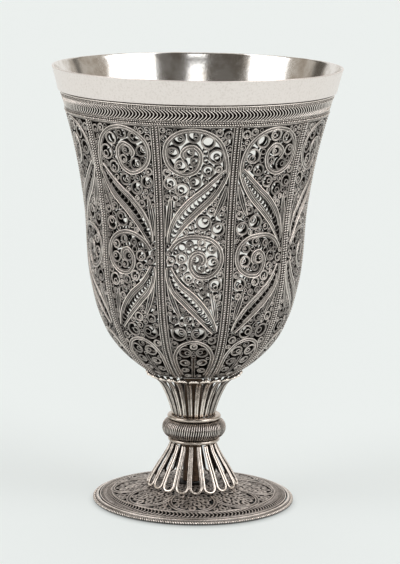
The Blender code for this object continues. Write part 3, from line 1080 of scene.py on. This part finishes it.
# Eyelets of a lobe, as (angle, radius, size)
EYELETS = (
    (-7.0, 24.1, 1.45), (0, 25.3, 1.45), (7.0, 24.1, 1.45), (-11.6, 21.0, 1.45),
    (-3.7, 22.0, 1.4), (3.7, 22.0, 1.4), (11.6, 21.0, 1.45), (-8.0, 18.9, 1.4),
    (0, 19.3, 1.4), (8.0, 18.9, 1.4), (180 / LOBES, 26.3, 1.35),
)


def foot_surface():
    """The domed top of the foot, stepped by minus the radius, so that steps run inward."""
    peak, rim = extent("foot_disc")[1:]
    edge = max(height for height, radius in outer_face("foot_disc") if radius > rim - 0.1)
    steps = np.linspace(-rim - 2.0, -3.0, 300)
    return Surface(steps, -steps, peak - (peak - edge) * (steps / rim) ** 2)


def foot_disc():
    """Domed openwork: a herringbone border round a field of lobes, rings and eyelets."""
    surface = foot_surface()
    work = Wirework("foot_disc_filigree")
    for radius, width, tone in FOOT_WIRES:
        work.lay(surface, around(-radius, 300), width, base=-0.75, closed=True, tone=tone)
    # A dark strip under the herringbone keeps its gaps black: painted shade.
    work.lay(surface, around(-29.8, 200), width=5.0, tall=0.2, base=-0.9, closed=True, tone=0.1,
             crest=0.0)
    work.chevrons(surface, count=140, near=-31.35, far=-28.45, lean=2.0, width=0.45, tall=0.8,
                  base=-0.8, tone=0.9)
    hub = np.array([(2.8, -0.8), (5.6, -0.8), (5.6, -0.15), (5.2, 0.0), (3.0, 0.0), (2.8, -0.1)])
    work.tube(turned_rings(hub + (0, extent("foot_disc")[1]), 60), closed=True, tone=0.2,
              crest=(0, 0, 0.6, 0.8, 0.8, 0.5))
    FootField(surface, work, 23).build()
    return stands_for(settle(work.finish(foot_silver)), "filigree_silver", "foot_disc")


class FootField(Field):
    """The filigree of the foot: lobes about the stem, packed with eyelets."""

    cell = 0.16
    pitch = 0.12
    largest = 1.4
    smallest = 0.72
    inset = WIRE / 2
    overlap = 0.06
    rim = WIRE / 2

    def flat(self, angle, step):
        """Millimetres to the side and away from the viewer, seen from above."""
        turn = np.radians(angle)
        return step * -np.sin(turn), step * np.cos(turn)

    def put(self, path, **settings):
        self.work.lay(self.surface, path, base=-0.7, **settings)

    def eyelet(self, angle, radius, size):
        """A flat coil of wire about a small hole."""
        centre = np.array((angle + self.draw.normal(0, 0.15), -radius))
        hole = 0.1 + 0.24 * size
        self.discs.append((angle, -radius, size))
        path = circle(self.surface, centre, (size + hole) / 2, pitch=0.9, least=8, length=1.35)
        self.lay(path, True, width=size - hole + 0.1, top=0.8,
                 tall=self.draw.uniform(0.58, 0.68), tone=self.draw.uniform(0.55, 0.8))

    def lobe(self, middle, pitch):
        """A round-headed petal of doubled wire that opens inward, with eyelets in it."""
        half = pitch * 0.47
        places = [(middle - half * share, -radius) for share, radius in LOBE]
        places += [(middle + half * share, -radius) for share, radius in LOBE[-2::-1]]
        path = smooth(self.surface, places)
        for offset, tone in LOBE_WIRES:
            self.lay(parallel(self.surface, path, offset), tone=tone, tall=0.8, width=0.46)
        for angle, radius, size in EYELETS:
            self.eyelet(middle + angle, radius, size)

    def build(self):
        """Lay the lobes and set small rounds into the gaps that are left."""
        for k in range(LOBES):
            self.lobe(360 * k / LOBES, 360 / LOBES)
        reach = 27.9
        grid = np.arange(-reach, reach, self.cell)
        out = np.hypot(*np.meshgrid(grid, grid))
        for x, y, size in self.gaps(grid, grid, (out > reach - 0.25) | (out < 4.6)):
            self.eyelet(np.degrees(np.arctan2(x, -y)), math.hypot(x, y), size)


def foot_edge():
    """The ring it stands on, with a beaded rope about it and plain wires inside."""
    inner = 32.75
    work = Wirework("foot_edge_rope")
    section = np.array([(inner, 0.0), (33.75, 0.0), (33.9, 0.15), (33.85, 0.4), (33.6, 0.5),
                        (inner, 0.6)])
    work.tube(turned_rings(section, 200), closed=True, crest=(0.5, 0.7, 0.9, 0.9, 0.9, 0.9))
    rope = 0.62
    flat = Surface(np.array((-36.0, -30.0)), np.array((36.0, 30.0)), np.full(2, rope))
    work.beads(flat, around(rope + 0.02 - extent("foot_edge")[2], 360), radius=rope, pitch=0.84,
               lift=0.0, slant=0.5, closed=True, tone=0.85, sides=6, notch=0.55)
    surface = foot_surface()
    work.lay(surface, around(-33.45), width=0.5, tall=0.62, closed=True, tone=0.6, top=0.9)
    work.lay(surface, around(-33.04, 300), width=0.84, tall=0.85, closed=True, tone=0.9, top=0.8)
    return stands_for(settle(work.finish(frame_wire)), "filigree_silver", "foot_edge")


# ---- Setting

# Light from the room, by the way it comes from
ROOM_FRONT = (0.13, 0.12, 0.108)
ROOM_SIDE = (0.47, 0.43, 0.38)
ROOM_BACK = (0.86, 0.84, 0.81)
ROOM_TOP = (0.90, 0.89, 0.87)
# Softboxes and dark stands: bearings from and to, elevations from and to, soft edge, light
SOFTBOXES = (
    (41.0, 88.0, 8.0, 62.0, 1.2, (2.4, 2.4, 2.4)),
    (-87.0, -50.0, 8.0, 62.0, 1.2, (2.4, 2.4, 2.4)),
    (-7.0, 9.0, 14.0, 38.9, 0.6, (2.3, 2.3, 2.3)),
    (121.0, 128.0, 0.0, 60.0, 1.5, (0.13, 0.12, 0.105)),
    (-134.0, -118.0, 0.0, 60.0, 2.0, (0.13, 0.12, 0.105)),
)
FLOOR_HALF = 12.0
FLOOR_GLOW = 0.575
# Painted shadow: the floor's own light fades out under the foot, about a place a little in front of
# it
PAINTED_SHADOW_SHIFT = (-0.5 * MM, 2.8 * MM, 0.0)
PAINTED_SHADOW_CORE = 29.0
PAINTED_SHADOW_EDGE = 36.8
# The camera's place in metres, its lens, how far it looks down and how far it is turned
CAMERA_PLACE = (0.0018, -0.8462, 0.2341)
CAMERA_LENS = 161.1
CAMERA_DOWN = 10.57
CAMERA_TURN = 0.83


def floor():
    """A pale floor that glows a little, so that it stays as even as the photo's."""
    corners = [(x * FLOOR_HALF, y * FLOOR_HALF, 0) for x, y in ((-1, -1), (1, -1), (1, 1), (-1, 1))]
    mesh = bpy.data.meshes.new("studio_floor")
    mesh.from_pydata(corners, [], [(0, 1, 2, 3)])
    nodes = Nodes("studio_floor")
    sockets = nodes.shader.inputs
    shade = nodes.noise(0.6, 2.0, 0.5)
    colour = nodes.ramp(shade, (0.3, (0.395, 0.415, 0.413)), (0.7, (0.405, 0.425, 0.422)))
    nodes.feed(sockets["Base Color"], colour)
    sockets["Roughness"].default_value = 0.9
    sockets["Specular IOR Level"].default_value = 0.0
    shifted = nodes.add("ShaderNodeVectorMath", {"operation": "ADD"})
    nodes.feed(shifted.inputs[0], nodes.place())
    shifted.inputs[1].default_value = PAINTED_SHADOW_SHIFT
    away = nodes.add("ShaderNodeVectorMath", {"operation": "LENGTH"}, Vector=shifted.outputs[0])
    # Painted shadow: no glow within the inner radius of the shifted place, full glow beyond the
    # outer one
    beyond_painted_shadow = nodes.step(away.outputs["Value"], PAINTED_SHADOW_CORE * MM, PAINTED_SHADOW_EDGE * MM)
    nodes.feed(sockets["Emission Color"], nodes.mix(beyond_painted_shadow, (0.0, 0.0, 0.0), (0.80, 0.835, 0.825)))
    sockets["Emission Strength"].default_value = FLOOR_GLOW
    mesh.materials.append(nodes.owner)
    place_piece("studio_floor", mesh)


def studio():
    """Softboxes left and right of the camera in a dim room, and the camera itself."""
    scene = bpy.context.scene
    world = bpy.data.worlds.new("studio")
    scene.world = world
    nodes = Nodes(world)
    x, y, z = nodes.add("ShaderNodeSeparateXYZ", Vector=nodes.place("Generated")).outputs
    turn = nodes.math("ARCTAN2", x, nodes.math("MULTIPLY", y, -1.0))
    turn = nodes.math("MULTIPLY", turn, math.degrees(1))
    rise = nodes.math("MULTIPLY", nodes.math("ARCSINE", z), math.degrees(1))
    away = nodes.math("ABSOLUTE", turn)
    light = nodes.mix(nodes.step(away, 41, 53), ROOM_FRONT, ROOM_SIDE)
    light = nodes.mix(nodes.step(away, 129, 141), light, ROOM_BACK)
    light = nodes.mix(nodes.step(rise, 55, 65), light, ROOM_TOP)
    for low, high, bottom, top, soft, colour in SOFTBOXES:
        box = nodes.math("MULTIPLY", nodes.window(turn, low, high, soft),
                         nodes.window(rise, bottom, top, soft))
        light = nodes.mix(box, light, colour)
    background = world.node_tree.nodes["Background"]
    nodes.feed(background.inputs["Color"], light)
    background.inputs["Strength"].default_value = 1.0
    scene.view_settings.view_transform = "Standard"
    camera = bpy.data.cameras.new("camera")
    camera.lens = CAMERA_LENS
    camera.sensor_width = 36.0
    scene.camera = place_piece("camera", camera)
    scene.camera.matrix_world = (
        Matrix.Translation(CAMERA_PLACE)
        @ Matrix.Rotation(math.radians(90 - CAMERA_DOWN), 4, "X")
        @ Matrix.Rotation(math.radians(CAMERA_TURN), 4, "Z")
    )


def main():
    liner()
    for number in range(PANELS):
        Panel(number).build()
        rib(number)
    border()
    calyx()
    collar("collar_upper")
    knop()
    collar("collar_lower")
    stem_flare()
    stem_rod()
    foot_disc()
    foot_edge()
    floor()
    studio()


main()
